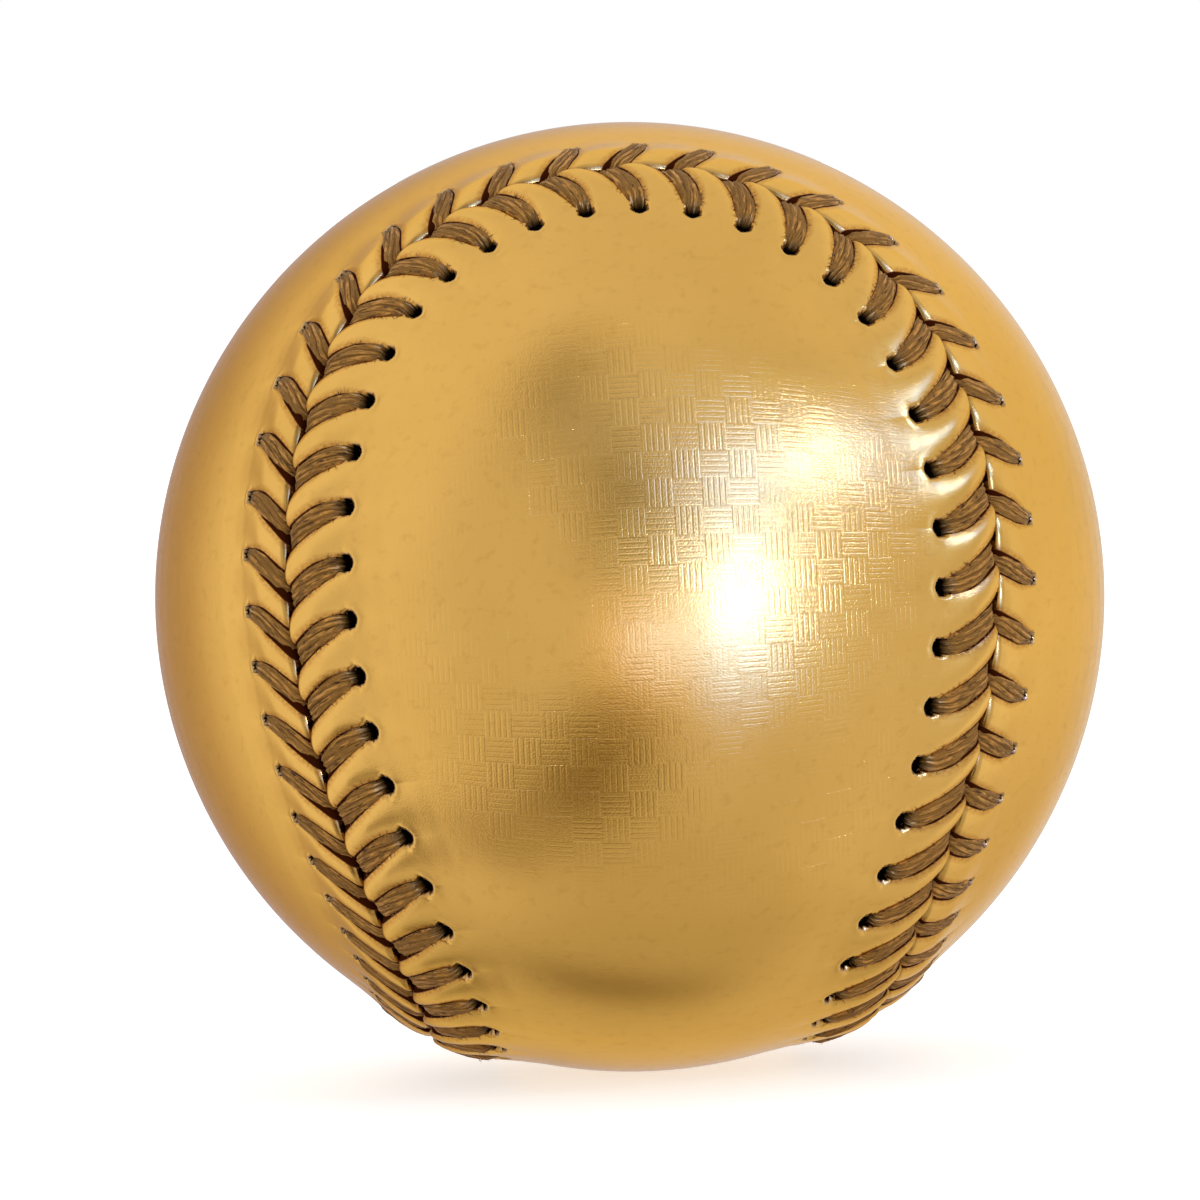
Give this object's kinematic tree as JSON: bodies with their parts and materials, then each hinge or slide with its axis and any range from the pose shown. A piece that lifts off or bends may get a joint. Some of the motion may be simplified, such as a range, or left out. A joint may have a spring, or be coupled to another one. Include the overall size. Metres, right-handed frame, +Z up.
{
  "type": "baseball",
  "caption": "Round leather ball with raised stitches along one curved seam, over wound yarn and a cushioned cork centre.",
  "frame": {"origin": "centre of the ball", "axes": "+Z up, through the middle of the back panel's waist; -Y towards the viewer, through the lobe of the front panel"},
  "size_m": [0.0742, 0.0742, 0.0742],
  "materials": {
    "cork": "ground cork with a little rubber, matt",
    "black_rubber": "matt moulded rubber",
    "red_rubber": "matt moulded rubber",
    "grey_wool": "wound wool yarn",
    "white_wool": "wound wool yarn",
    "finish_yarn": "fine cotton yarn under a coat of cement",
    "gold_leather": "leather with a metallic gold finish and an embossed basket weave",
    "waxed_thread": "waxed brown cotton thread"
  },
  "bodies": {
    "root": {"cork_core": "cork", "inner_rubber_shell_upper": "black_rubber", "inner_rubber_shell_lower": "black_rubber", "rubber_washer": "red_rubber", "outer_rubber_shell_upper": "red_rubber", "outer_rubber_shell_lower": "red_rubber", "first_winding": "grey_wool", "second_winding": "white_wool", "third_winding": "grey_wool", "finish_winding": "finish_yarn", "front_cover_panel": "gold_leather", "back_cover_panel": "gold_leather", "first_needle_thread": "waxed_thread", "second_needle_thread": "waxed_thread"}
  },
  "joints": []
}
